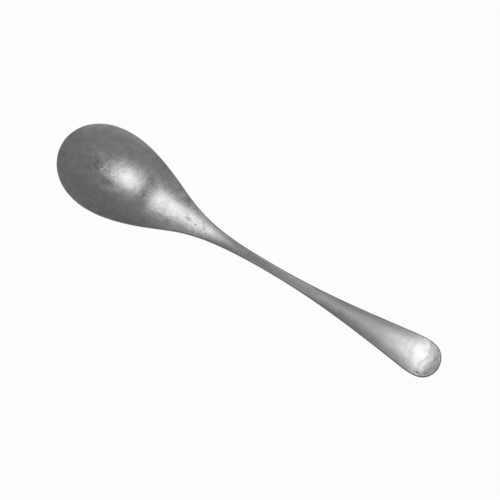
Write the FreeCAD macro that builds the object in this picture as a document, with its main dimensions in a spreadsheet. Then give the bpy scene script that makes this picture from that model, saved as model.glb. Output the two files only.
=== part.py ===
"""A plain spoon of dessert size, made of one piece of metal, lying on its face.

The spoon runs along X with its bowl towards -X and is the same on both sides of the XZ plane.
Its back is up. On z = 0 it stands on the rim near the bowl's tip and on the crook of its stem.
It is made as the real one is: a curved blank, trimmed to its outline, with its edges buffed round.
All lengths are in millimetres. Places along the spoon are measured from the bowl's tip.
"""
import FreeCAD, Part
import math
import os

import Sketcher

SIZES = {
    "overall_length": 180.0,
    # stations along the spoon
    "shoulder_at": 4.0,
    "fore_at": 10.0,
    "broad_at": 22.0,
    "belly_at": 35.0,
    "heel_at": 45.0,
    "throat_at": 51.0,
    "root_at": 60.0,
    "neck_at": 70.0,
    "crook_at": 78.0,
    "waist_at": 94.0,
    # the handle's stations, measured back from its end
    "palm_back": 30.0,
    "grip_back": 15.0,
    "cap_back": 7.5,
    "corner_back": 3.2,
    # half widths of the outline at the stations
    "shoulder_half": 10.8,
    "fore_half": 15.5,
    "broad_half": 18.3,
    "belly_half": 16.5,
    "heel_half": 13.15,
    "throat_half": 10.6,
    "root_half": 6.8,
    "neck_half": 4.0,
    "crook_half": 2.8,
    "waist_half": 1.95,
    "stem_half": 2.65,
    "palm_half": 5.55,
    "grip_half": 7.5,
    # the handle's rounded end: its broadest place and its corner
    "cap_half": 7.87,
    "corner_half": 6.45,
    # middle line of the back over the bowl: an arc with its top this high and this far along
    "bowl_top": 8.45,
    "bowl_top_at": 25.0,
    "bowl_long_radius": 54.0,
    # height of the back's middle line from the heel on
    "heel_crown": 4.88,
    "throat_crown": 4.18,
    "root_crown": 3.46,
    "neck_crown": 2.9,
    "crook_crown": 3.16,
    "waist_crown": 5.4,
    "stem_crown": 9.3,
    "palm_crown": 12.8,
    "grip_crown": 13.95,
    "cap_crown": 13.7,
    "end_crown": 11.8,
    # thickness of the metal on the middle line
    "tip_thick": 1.5,
    "shoulder_thick": 1.5,
    "fore_thick": 1.5,
    "broad_thick": 1.5,
    "belly_thick": 1.5,
    "heel_thick": 1.6,
    "throat_thick": 2.0,
    "root_thick": 2.6,
    "neck_thick": 2.95,
    "crook_thick": 2.9,
    "waist_thick": 2.6,
    "stem_thick": 2.3,
    "palm_thick": 1.9,
    "grip_thick": 1.9,
    "cap_thick": 1.9,
    "end_thick": 1.9,
    # how far the back falls from its middle line to the outline
    "shoulder_fall": 2.65,
    "fore_fall": 4.95,
    "broad_fall": 6.75,
    "belly_fall": 5.7,
    "heel_fall": 3.28,
    "throat_fall": 2.26,
    "root_fall": 1.08,
    "neck_fall": 0.54,
    "crook_fall": 0.45,
    "waist_fall": 0.30,
    "stem_fall": 0.45,
    "palm_fall": 0.79,
    "grip_fall": 0.78,
    "cap_fall": 0.7,
    "end_fall": 0.74,
    # the same on the front, which is hollow in the bowl and domed along the stem and handle
    "shoulder_rise": 2.76,
    "fore_rise": 5.22,
    "broad_rise": 7.09,
    "belly_rise": 5.95,
    "heel_rise": 3.13,
    "throat_rise": 2.08,
    "root_rise": 0.66,
    "neck_rise": 0.20,
    "crook_rise": 0.16,
    "waist_rise": 0.11,
    "stem_rise": 0.13,
    "palm_rise": 0.19,
    "grip_rise": 0.19,
    "cap_rise": 0.21,
    "end_rise": 0.22,
    # the blank stands out past the outline by this much before it is trimmed
    "blank_margin": 1.2,
    # rounding of the edges, on the back and on the front, at the bowl's tip and at the handle's end
    "back_tip_round": 0.4,
    "back_end_round": 0.7,
    "front_tip_round": 0.3,
    "front_end_round": 0.4,
}
BOWL = ["tip", "shoulder", "fore", "broad", "belly", "heel", "throat", "root"]
STEM = ["neck", "crook", "waist", "stem", "palm", "grip", "cap", "end"]
ON_BOWL_ARC = ["tip", "shoulder", "fore", "broad", "belly"]
OUTLINE = ["shoulder", "fore", "broad", "belly", "heel", "throat", "root", "neck", "crook", "waist", "stem",
           "palm", "grip", "cap", "corner"]
# a rounding takes at most this share of the edge's height: the front of the rim is a sharp corner
ROUND_LIMITS = {("front", "tip"): 0.23, ("back", "tip"): 0.31, ("front", "end"): 0.34, ("back", "end"): 0.58}
LOWEST_FACET = 0.05

doc = FreeCAD.newDocument("spoon")
sheet = doc.addObject("Spreadsheet::Sheet", "sizes")
for row, (alias, value) in enumerate(SIZES.items(), start=1):
    sheet.set(f"A{row}", alias)
    sheet.set(f"B{row}", str(value))
    sheet.setAlias(f"B{row}", alias)
doc.recompute()
body = doc.addObject("PartDesign::Body", "trimmed_blank")
body.setExpression("Placement.Base.x", "-sizes.overall_length / 2")


def measure(formula):
    """The value of a formula over the sheet, to draw with before the formula is bound."""
    return float(sheet.evalExpression(formula.replace("sizes.", "")))


def origin_plane(role):
    """The body's own origin plane of this role."""
    return next(plane for plane in body.Origin.OriginFeatures if plane.Role == role)


def new_sketch(name, role, offset):
    """An empty sketch beside one of the body's origin planes, at an offset given by a formula."""
    sketch = body.newObject("Sketcher::SketchObject", name)
    sketch.AttachmentSupport = [(origin_plane(role), "")]
    sketch.MapMode = "FlatFace"
    sketch.AttachmentOffset = FreeCAD.Placement(FreeCAD.Vector(0, 0, measure(offset)), FreeCAD.Rotation())
    sketch.setExpression("AttachmentOffset.Base.z", offset)
    return sketch


def tie(sketch, kind, *where):
    """Add a constraint that needs no size."""
    sketch.addConstraint(Sketcher.Constraint(kind, *where))


def bind(sketch, kind, where, formula):
    """Add a dimension and bind it to the sheet."""
    index = sketch.addConstraint(Sketcher.Constraint(kind, *where, measure(formula)))
    sketch.setExpression(f"Constraints[{index}]", formula)


def place_of(name):
    """Formula for how far a station lies from the bowl's tip."""
    palm = "sizes.overall_length - sizes.palm_back"
    return {"tip": "-sizes.blank_margin",
            "stem": f"(sizes.waist_at + {palm}) / 2",
            "palm": palm,
            "grip": "sizes.overall_length - sizes.grip_back",
            "cap": "sizes.overall_length - sizes.cap_back",
            "corner": "sizes.overall_length - sizes.corner_back",
            "end": "sizes.overall_length + sizes.blank_margin"}.get(name, f"sizes.{name}_at")


def crown_of(name):
    """Formula for the height of the back's middle line at a station."""
    if name not in ON_BOWL_ARC:
        return f"sizes.{name}_crown"
    from_top = f"(sizes.bowl_top_at - ({place_of(name)}))"
    fall = f"sizes.bowl_long_radius - sqrt(sizes.bowl_long_radius^2 - {from_top}^2)"
    return f"(sizes.bowl_top - ({fall}))"


def section(name):
    """One section across the blank: the back's arc, the front's arc and two short upright sides.

    Each arc falls or rises by its own amount between the middle line and the outline.
    """
    outline = {"tip": "shoulder", "end": "cap"}.get(name, name)
    rim = {"tip": "shoulder"}.get(name, name)
    half = f"sizes.{outline}_half"
    blank_half = f"{half} + sizes.blank_margin"
    radii = [f"({half}^2 + sizes.{rim}_{bend}^2) / (2 * sizes.{rim}_{bend})" for bend in ("fall", "rise")]
    crown = crown_of(name)
    front_centre, turn = ("-", 0) if name in BOWL else ("+", math.pi)
    arcs = [(radii[0], f"{crown} - {radii[0]}", 0),
            (radii[1], f"{crown} - sizes.{name}_thick {front_centre} {radii[1]}", turn)]
    sketch = new_sketch(f"{name}_section", "YZ_Plane", place_of(name))
    ends = []
    for radius, centre, turn in arcs:
        circle = Part.Circle(FreeCAD.Vector(0, measure(centre)), FreeCAD.Vector(0, 0, 1), measure(radius))
        swing = math.asin(measure(blank_half) / measure(radius))
        middle = math.pi / 2 + turn
        arc = sketch.addGeometry(Part.ArcOfCircle(circle, middle - swing, middle + swing))
        ends.append([(arc, 1), (arc, 2)] if turn == 0 else [(arc, 2), (arc, 1)])
        tie(sketch, "PointOnObject", arc, 3, -2)
        bind(sketch, "Radius", (arc,), radius)
        bind(sketch, "DistanceY", (-1, 1, arc, 3), centre)
    for back_end, front_end in zip(*ends):
        points = [sketch.getPoint(*end) for end in (back_end, front_end)]
        side = sketch.addGeometry(Part.LineSegment(*points))
        tie(sketch, "Coincident", *back_end, side, 1)
        tie(sketch, "Coincident", *front_end, side, 2)
        tie(sketch, "Vertical", side)
    right, left = ends[0]
    bind(sketch, "DistanceX", (-1, 1, *right), blank_half)
    bind(sketch, "DistanceX", (*left, -1, 1), blank_half)
    return sketch


def edge_height(stations):
    """Height of the upright edge between the back and the front, where it is lowest."""
    return min(SIZES[f"{name}_thick"] - SIZES[f"{name}_fall"] + (1 if name in BOWL else -1) * SIZES[f"{name}_rise"]
               for name in stations)


def waste_outside_outline():
    """What is trimmed off one side: the room between the outline and a box around the blank.

    The outline is one curve through the stations, square to the middle line at both ends.
    """
    sketch = new_sketch("waste_outside_outline", "XY_Plane", "-2 * sizes.bowl_top")
    places = [(place_of(name), f"sizes.{name}_half") for name in OUTLINE]
    tip = FreeCAD.Vector(0, 0)
    end = FreeCAD.Vector(measure("sizes.overall_length"), 0)
    between = [FreeCAD.Vector(measure(along), measure(out)) for along, out in places]
    curve = Part.BSplineCurve()
    curve.interpolate(Points=[tip, *between, end], InitialTangent=FreeCAD.Vector(0, 1),
                      FinalTangent=FreeCAD.Vector(0, -1), Scale=False)
    outline = sketch.addGeometry(curve)
    sketch.exposeInternalGeometry(outline)
    helpers = [tied.First for tied in sketch.Constraints if tied.Type == "InternalAlignment"]
    knots = [helper for helper in helpers if isinstance(sketch.Geometry[helper], Part.Point)]
    poles = [helper for helper in helpers if isinstance(sketch.Geometry[helper], Part.Circle)]
    tie(sketch, "Coincident", knots[0], 1, -1, 1)
    tie(sketch, "PointOnObject", knots[-1], 1, -1)
    bind(sketch, "DistanceX", (-1, 1, knots[-1], 1), "sizes.overall_length")
    for knot, (along, out) in zip(knots[1:-1], places):
        bind(sketch, "DistanceX", (-1, 1, knot, 1), along)
        bind(sketch, "DistanceY", (-1, 1, knot, 1), out)
    tie(sketch, "Vertical", poles[0], 3, poles[1], 3)
    tie(sketch, "Vertical", poles[-2], 3, poles[-1], 3)
    past = "5 * sizes.blank_margin"
    reach = f"sizes.broad_half + {past}"
    far, wide = measure(f"sizes.overall_length + {past}"), measure(reach)
    corners = [end, FreeCAD.Vector(far, 0), FreeCAD.Vector(far, wide), FreeCAD.Vector(-measure(past), wide),
               FreeCAD.Vector(-measure(past), 0), tip]
    box = [sketch.addGeometry(Part.LineSegment(start, stop)) for start, stop in zip(corners, corners[1:])]
    for side, level in zip(box, ("Horizontal", "Vertical", "Horizontal", "Vertical", "Horizontal")):
        tie(sketch, level, side)
    for first, second in zip(box, box[1:]):
        tie(sketch, "Coincident", first, 2, second, 1)
    tie(sketch, "Coincident", outline, 2, box[0], 1)
    tie(sketch, "Coincident", box[-1], 2, outline, 1)
    bind(sketch, "DistanceX", (-1, 1, box[1], 1), f"sizes.overall_length + {past}")
    bind(sketch, "DistanceX", (box[3], 1, -1, 1), past)
    bind(sketch, "DistanceY", (-1, 1, box[1], 2), reach)
    return sketch


sections = [section(name) for name in BOWL + STEM]
curved_blank = body.newObject("PartDesign::AdditiveLoft", "curved_blank")
curved_blank.Profile = sections[0]
curved_blank.Sections = sections[1:]
doc.recompute()

trim = body.newObject("PartDesign::Pocket", "trim_one_side")
trim.Profile = waste_outside_outline()
trim.Type = "ThroughAll"
trim.Reversed = True
doc.recompute()

trim_both = body.newObject("PartDesign::Mirrored", "trim_both_sides")
trim_both.Originals = [trim]
trim_both.MirrorPlane = (origin_plane("XZ_Plane"), [""])
body.Tip = trim_both
doc.recompute()
volumes = [feature.Shape.Volume for feature in (curved_blank, trim, trim_both)]
if not volumes[0] > volumes[1] > volumes[2]:
    raise RuntimeError(f"a trim took nothing off: {volumes}")

# The four long edges run from tip to end, the front's pair below the back's.
long_edges = [(number, edge) for number, edge in enumerate(body.Shape.Edges, start=1)
              if edge.Length > SIZES["overall_length"]]
long_edges.sort(key=lambda numbered: numbered[1].CenterOfMass.z)
rounds = []
for pair, face in ((long_edges[:2], "front"), (long_edges[2:], "back")):
    radii = [min(SIZES[f"{face}_{place}_round"], ROUND_LIMITS[face, place] * edge_height(stations))
             for place, stations in (("tip", BOWL[1:]), ("end", STEM))]
    for number, edge in pair:
        from_tip = edge.valueAt(edge.FirstParameter).x < edge.valueAt(edge.LastParameter).x
        rounds.append((number, *(radii if from_tip else radii[::-1])))
spoon = doc.addObject("Part::Fillet", "spoon")
spoon.Label = "spoon"
spoon.Base = body
spoon.Edges = rounds
doc.recompute()

# Let the spoon down until its lowest point is on the ground.
lowest = min(point.z for point in spoon.Shape.tessellate(LOWEST_FACET)[0])
body.Placement.Base.z -= lowest
doc.recompute()

for item in doc.Objects:
    if "Invalid" in item.State or "Error" in item.State:
        raise RuntimeError(f"{item.Name} failed: {item.State}")
if spoon.Shape.isNull() or not spoon.Shape.isValid() or len(spoon.Shape.Solids) != 1:
    raise RuntimeError("spoon is not one valid solid")
os.makedirs("parts", exist_ok=True)
spoon.Shape.exportStep("parts/spoon.step")
print("spoon", round(spoon.Shape.Volume, 1), "mm3, let down by", round(lowest, 3))
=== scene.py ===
import math

import bpy
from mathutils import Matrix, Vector

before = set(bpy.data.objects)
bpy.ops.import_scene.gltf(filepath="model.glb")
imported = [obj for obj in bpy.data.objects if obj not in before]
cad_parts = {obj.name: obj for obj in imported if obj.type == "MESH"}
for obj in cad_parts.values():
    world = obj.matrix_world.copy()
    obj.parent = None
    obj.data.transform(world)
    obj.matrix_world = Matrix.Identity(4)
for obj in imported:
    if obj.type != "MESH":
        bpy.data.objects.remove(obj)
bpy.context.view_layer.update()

# Camera. It looks down on the spoon's back from nearly straight above, with the bowl up on the
# left and the handle running down to the right. The long lens keeps both ends at one scale.
turn, rise = math.radians(31.6), math.radians(82.0)
distance, focal_mm = 1.5, 264.5
toward = Vector((-math.sin(turn) * math.cos(rise), math.cos(turn) * math.cos(rise), -math.sin(rise)))
level = Vector((math.cos(turn), math.sin(turn), 0.0))
upward = level.cross(toward)
half_height = Vector((0.0, 0.0, 0.005))
right_of_middle, above_middle = 0.00036, 0.0021
aim = half_height + level * right_of_middle + upward * above_middle
bpy.ops.object.select_all(action="DESELECT")
bpy.ops.object.camera_add(location=aim - toward * distance, rotation=(math.radians(90) - rise, 0, turn))
camera = bpy.context.object
camera.name = "camera"
camera.data.sensor_width = 36.0
camera.data.lens = focal_mm
camera.data.clip_start = 0.05
camera.data.clip_end = 50.0
bpy.context.scene.camera = camera
bpy.context.scene.view_settings.view_transform = "Standard"

# Light. A plain grey room, a little paler on the spoon's far side than on its near side, and one
# large soft round lamp overhead. The lamp makes one broad highlight on the bowl, a long one on the
# neck and one on the handle's end.
near_grey, far_grey = 0.21, 0.33
room = bpy.data.worlds.new("grey_room")
bpy.context.scene.world = room
room.use_nodes = True
nodes, links = room.node_tree.nodes, room.node_tree.links
way = nodes.new("ShaderNodeTexCoord")
parts_of_way = nodes.new("ShaderNodeSeparateXYZ")
links.new(way.outputs["Generated"], parts_of_way.inputs[0])
walls = nodes.new("ShaderNodeMapRange")
for name, number in (("From Min", -1.0), ("From Max", 1.0), ("To Min", near_grey), ("To Max", far_grey)):
    walls.inputs[name].default_value = number
links.new(parts_of_way.outputs["Y"], walls.inputs["Value"])
links.new(walls.outputs["Result"], nodes["Background"].inputs["Color"])

lamp_way = Vector((0.115, 0.155, 0.975)).normalized()
lamp_away, lamp_across, lamp_power = 3.0, 1.8, 18.0
bpy.ops.object.light_add(type="AREA", location=lamp_way * lamp_away)
lamp = bpy.context.object
lamp.name = "overhead_lamp"
lamp.data.shape = "DISK"
lamp.data.size = lamp_across
lamp.data.energy = lamp_power
lamp.rotation_euler = (-lamp_way).to_track_quat("-Z", "Y").to_euler()

# Floor. A large white board. It takes the spoon's soft shadow only faintly, because it is mostly
# lit from within for the eye and for the metal that mirrors it.
board_side, lit_share = 12.0, 0.97
bpy.ops.object.select_all(action="DESELECT")
bpy.ops.mesh.primitive_plane_add(size=board_side, location=(0, 0, 0))
floor = bpy.context.object
floor.name = "floor"
board = bpy.data.materials.new("white_board")
board.use_nodes = True
nodes, links = board.node_tree.nodes, board.node_tree.links
nodes.clear()


def calc(kind, *values):
    """A Math node of this kind over sockets and numbers, in the material at hand."""
    node = nodes.new("ShaderNodeMath")
    node.operation = kind
    for socket, value in zip(node.inputs, values):
        if isinstance(value, bpy.types.NodeSocket):
            links.new(value, socket)
        else:
            socket.default_value = value
    return node.outputs[0]


out = nodes.new("ShaderNodeOutputMaterial")
paint = nodes.new("ShaderNodeBsdfDiffuse")
paint.inputs["Color"].default_value = (0.8, 0.8, 0.8, 1)
glow = nodes.new("ShaderNodeEmission")
glow.inputs["Color"].default_value = (1, 1, 1, 1)
glow.inputs["Strength"].default_value = 1.0
rays = nodes.new("ShaderNodeLightPath").outputs
seen_or_mirrored = calc("MAXIMUM", rays["Is Camera Ray"], rays["Is Glossy Ray"])
seen_at_all = calc("MAXIMUM", seen_or_mirrored, rays["Is Transmission Ray"])
blend = nodes.new("ShaderNodeMixShader")
links.new(calc("MULTIPLY", seen_at_all, lit_share), blend.inputs[0])
links.new(paint.outputs[0], blend.inputs[1])
links.new(glow.outputs[0], blend.inputs[2])
links.new(blend.outputs[0], out.inputs["Surface"])
floor.data.materials.append(board)

# Spoon. One piece of stainless steel, stamped out of sheet, pressed to its curves, ground and
# polished along its length. Years of use have dulled it and left scratches, pits and smudges.
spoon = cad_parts["spoon"]
steel = bpy.data.materials.new("worn_steel")
steel.use_nodes = True
nodes, links = steel.node_tree.nodes, steel.node_tree.links
metal = nodes["Principled BSDF"]
metal.inputs["Metallic"].default_value = 1.0
where = nodes.new("ShaderNodeTexCoord").outputs["Object"]
apart = nodes.new("ShaderNodeSeparateXYZ")
links.new(where, apart.inputs[0])
along, across = apart.outputs["X"], apart.outputs["Y"]
mm = 0.001


def plus(first, second):
    return calc("ADD", first, second)


def times(first, second):
    return calc("MULTIPLY", first, second)


def most(first, *others):
    """The strongest of several masks at each place."""
    for other in others:
        first = calc("MAXIMUM", first, other)
    return first


def swing(field, strength):
    """How far a field of marks is from its middle of 0.5, times a strength."""
    return times(calc("SUBTRACT", field, 0.5), strength)


def ramp(value, low, high, at_low=0.0, at_high=1.0):
    """Turns a value smoothly from at_low to at_high while it goes from low to high."""
    node = nodes.new("ShaderNodeMapRange")
    node.interpolation_type = "SMOOTHSTEP"
    links.new(value, node.inputs["Value"])
    for name, number in (("From Min", low), ("From Max", high), ("To Min", at_low), ("To Max", at_high)):
        node.inputs[name].default_value = number
    return node.outputs["Result"]


def band(value, middle, none_from, full_within=0.0):
    """1 where a value is close to the middle, falling to 0 where it is none_from away on either side."""
    return ramp(calc("ABSOLUTE", calc("SUBTRACT", value, middle)), none_from, full_within)


def grain(marks_per_mm, run=(1.0, 1.0, 1.0), angle=0.0, detail=2.0, wander=0.0):
    """Noise with this many marks to the millimetre, drawn out along the axes where run is below 1."""
    turned = nodes.new("ShaderNodeMapping")
    turned.inputs["Rotation"].default_value = (0, 0, math.radians(angle))
    links.new(where, turned.inputs["Vector"])
    drawn = nodes.new("ShaderNodeMapping")
    drawn.inputs["Scale"].default_value = run
    links.new(turned.outputs[0], drawn.inputs["Vector"])
    noise = nodes.new("ShaderNodeTexNoise")
    noise.inputs["Scale"].default_value = marks_per_mm / mm
    noise.inputs["Detail"].default_value = detail
    noise.inputs["Distortion"].default_value = wander
    links.new(drawn.outputs[0], noise.inputs["Vector"])
    return noise.outputs[0]


# the fields of marks that cover the whole spoon
cloud = grain(0.05, detail=3.0)
mottle = grain(0.35, detail=4.0, wander=0.4)
fine = grain(2.2)
lengthwise = grain(1.6, run=(0.06, 1.0, 1.0), detail=3.0)
crosswise = grain(1.1, run=(1.0, 0.09, 0.3), angle=8)
one_way, other_way = [grain(0.9, run=(0.16, 1.0, 1.0), angle=angle) for angle in (58, -72)]
scuffs = times(plus(one_way, other_way), 0.5)
scratch_lines = [band(grain(1.1, run=(0.035, 1.0, 1.0), angle=angle, detail=0.0, wander=0.3), 0.5, 0.012)
                 for angle in (22, -38, 64)]
scratches = times(most(*scratch_lines), ramp(mottle, 0.48, 0.6))


def patch(x_mm, y_mm, long_mm, wide_mm, ragged=0.35):
    """1 in the middle of an oval place on the spoon, and 0 outside its ragged border.

    It fades between 0.35 and 1.15 of the oval's half length and half width.
    """
    x = calc("DIVIDE", calc("SUBTRACT", along, x_mm * mm), long_mm / 2 * mm)
    y = calc("DIVIDE", calc("SUBTRACT", across, y_mm * mm), wide_mm / 2 * mm)
    far = calc("SQRT", plus(times(x, x), times(y, y)))
    return ramp(plus(far, swing(mottle, ragged * 4)), 1.15, 0.35)


# the bowl has smudges and claw marks towards its tip; around them and over the tip it gets painted shade
# that trims its highlight
blotches = ramp(grain(0.5, detail=3.0, wander=0.5), 0.42, 0.56)
smudges = times(most(patch(-71.7, -2.3, 10, 7), patch(-65.2, -5.2, 6, 3)), blotches)
smudges = most(smudges, patch(-72.0, -2.0, 3.5, 3.5))
claw_marks = times(band(grain(0.62, run=(0.22, 1.0, 1.0), angle=-14, detail=1.0, wander=0.5), 0.5, 0.06),
                   patch(-67.2, -1.5, 11, 4.4, ragged=0.15))
# painted shade around the smudges and over the bowl's tip
bowl_painted_shade = most(patch(-71, -1.8, 22, 14), patch(-88, 0.0, 8, 26))
# a painted highlight on the bowl's far side and painted shade on its near side shift its highlight towards
# the far side
bowl_painted_highlight = patch(-58.0, 6.6, 20, 8)
bowl_side_painted_shade = patch(-57.0, -3.6, 16, 4)

# the heel is rubbed crosswise, and a band of painted shade across it darkens the gap between the bowl's
# highlight and the neck's; it also has a darker spot
heel_rubbing_and_shade = patch(-49.5, -0.5, 7.5, 16, ragged=0.2)
heel_spot = patch(-49.8, -1.1, 3, 5)

# the neck gets a painted highlight on its near side and painted shade on its far side; it has specks, dull
# spots and pits, and one pit is on the handle
pits = most(*[patch(x_mm, y_mm, long_mm, wide_mm, ragged=0.6) for x_mm, y_mm, long_mm, wide_mm in (
    (-21.7, -0.2, 2.4, 1.8), (-22.3, 1.0, 1.8, 1.4), (-23.0, 2.0, 1.6, 0.9), (-29.0, -0.1, 3.8, 1.9),
    (-30.4, 1.2, 1.8, 1.2), (-25.6, -0.6, 1.2, 0.9), (-20.2, -1.5, 1.4, 0.9), (84.0, -6.4, 3.0, 0.9))])
pits = times(pits, ramp(grain(0.9), 0.35, 0.5))
specks = times(ramp(grain(0.75, detail=1.5), 0.6, 0.68), patch(-35, 0.3, 32, 9))
neck_painted_highlight = patch(-37, -6.0, 30, 8)
dull_spots = most(patch(-35.2, 4.6, 6, 3.6, ragged=0.5), patch(-38.4, -5.4, 5, 3, ragged=0.5))
neck_painted_shade = most(patch(-39, 5.4, 24, 6), patch(-23, 3.4, 18, 3.4), patch(-46.5, 3.0, 7, 9))

# a painted highlight runs along the stem beside its middle, which gets painted shade, and another painted
# highlight lies on the handle's flanks
off_middle = calc("ABSOLUTE", across)
on_stem = times(ramp(along, -12 * mm, 4 * mm), ramp(along, 45 * mm, 25 * mm))
on_handle = times(ramp(along, 40 * mm, 56 * mm), ramp(along, 78 * mm, 66 * mm))
stem_painted_shade = times(ramp(off_middle, 1.1 * mm, 0.4 * mm), on_stem)
stem_painted_highlights = times(band(off_middle, 1.5 * mm, 0.8 * mm, 0.2 * mm), on_stem)
handle_painted_highlights = times(ramp(off_middle, 0.6 * mm, 2.6 * mm), on_handle)

# the handle's end gets a painted highlight along a slanting ragged band, which is also made a little less
# rough, and painted shade past it
ragged_by = plus(swing(mottle, 5 * mm), swing(scuffs, 9 * mm))
slant = plus(plus(along, times(across, 0.29)), ragged_by)
end_painted_highlight = band(slant, 80.6 * mm, 3.6 * mm, 1.0 * mm)
end_painted_shade = ramp(slant, 82.5 * mm, 84.2 * mm)

# painted shade on the corner at the rim and on the rounded edges, wherever the surface leans far from flat;
# these are also made rougher
facing = nodes.new("ShaderNodeSeparateXYZ")
links.new(nodes.new("ShaderNodeNewGeometry").outputs["Normal"], facing.inputs[0])
flatness = calc("SUBTRACT", calc("ABSOLUTE", facing.outputs["Z"]), ramp(along, -60 * mm, -44 * mm, 0.0, 0.1))
painted_edge_shade = ramp(flatness, 0.84, 0.64)

# the stem and the handle are knocked about less than the bowl and the handle's end
slender = times(ramp(along, -26 * mm, -6 * mm), ramp(along, 86 * mm, 70 * mm))
knocked = calc("SUBTRACT", 1.0, times(slender, 0.8))
knocked_scratches = times(scratches, knocked)

# its grey: the share of it that each kind of wear leaves, and the painted shade and painted highlights on
# the bowl, heel, neck, stem, handle, end and edges
shade = plus(0.5, swing(cloud, 0.12))
shade = plus(shade, swing(lengthwise, 0.12))
for field, strength in ((mottle, 0.14), (fine, 0.12), (scuffs, 0.10)):
    shade = plus(shade, swing(field, times(knocked, strength)))
for mask, share_left in ((smudges, 0.66), (bowl_painted_shade, 0.92), (heel_rubbing_and_shade, 0.68), (heel_spot, 0.78),
                         (pits, 0.55), (specks, 0.85), (dull_spots, 0.88), (neck_painted_shade, 0.86),
                         (neck_painted_highlight, 1.2), (bowl_painted_highlight, 1.1), (bowl_side_painted_shade, 0.92),
                         (end_painted_highlight, 1.09), (end_painted_shade, 0.86), (handle_painted_highlights, 1.13), (stem_painted_highlights, 1.3),
                         (stem_painted_shade, 0.92), (painted_edge_shade, 0.45)):
    shade = times(shade, calc("SUBTRACT", 1.0, times(mask, 1 - share_left)))
for mask, strength in ((swing(crosswise, heel_rubbing_and_shade), 0.2), (knocked_scratches, 0.05), (claw_marks, 0.34)):
    shade = plus(shade, times(mask, strength))
grey = nodes.new("ShaderNodeCombineColor")
for channel in grey.inputs:
    links.new(shade, channel)
links.new(grey.outputs[0], metal.inputs["Base Color"])

# how dull it is
dullness = plus(0.34, swing(mottle, 0.20))
for field, strength in ((lengthwise, 0.10), (scuffs, 0.10)):
    dullness = plus(dullness, swing(field, strength))
for mask, strength in ((smudges, 0.06), (painted_edge_shade, 0.15), (end_painted_highlight, -0.035)):
    dullness = plus(dullness, times(mask, strength))
links.new(dullness, metal.inputs["Roughness"])

# how deep the marks are
mark_depth = 0.03 * mm
relief = times(lengthwise, plus(0.35, times(slender, 0.5)))
for field, strength in ((fine, 0.3), (mottle, 1.6), (scuffs, 2.4)):
    relief = plus(relief, times(times(field, strength), knocked))
relief = plus(relief, times(crosswise, heel_rubbing_and_shade))
for mask, strength in ((pits, 0.8), (knocked_scratches, 0.18)):
    relief = calc("SUBTRACT", relief, times(mask, strength))
bump = nodes.new("ShaderNodeBump")
bump.inputs["Strength"].default_value = 1.0
bump.inputs["Distance"].default_value = mark_depth
links.new(relief, bump.inputs["Height"])
links.new(bump.outputs[0], metal.inputs["Normal"])
for slot in spoon.material_slots:
    slot.material = steel
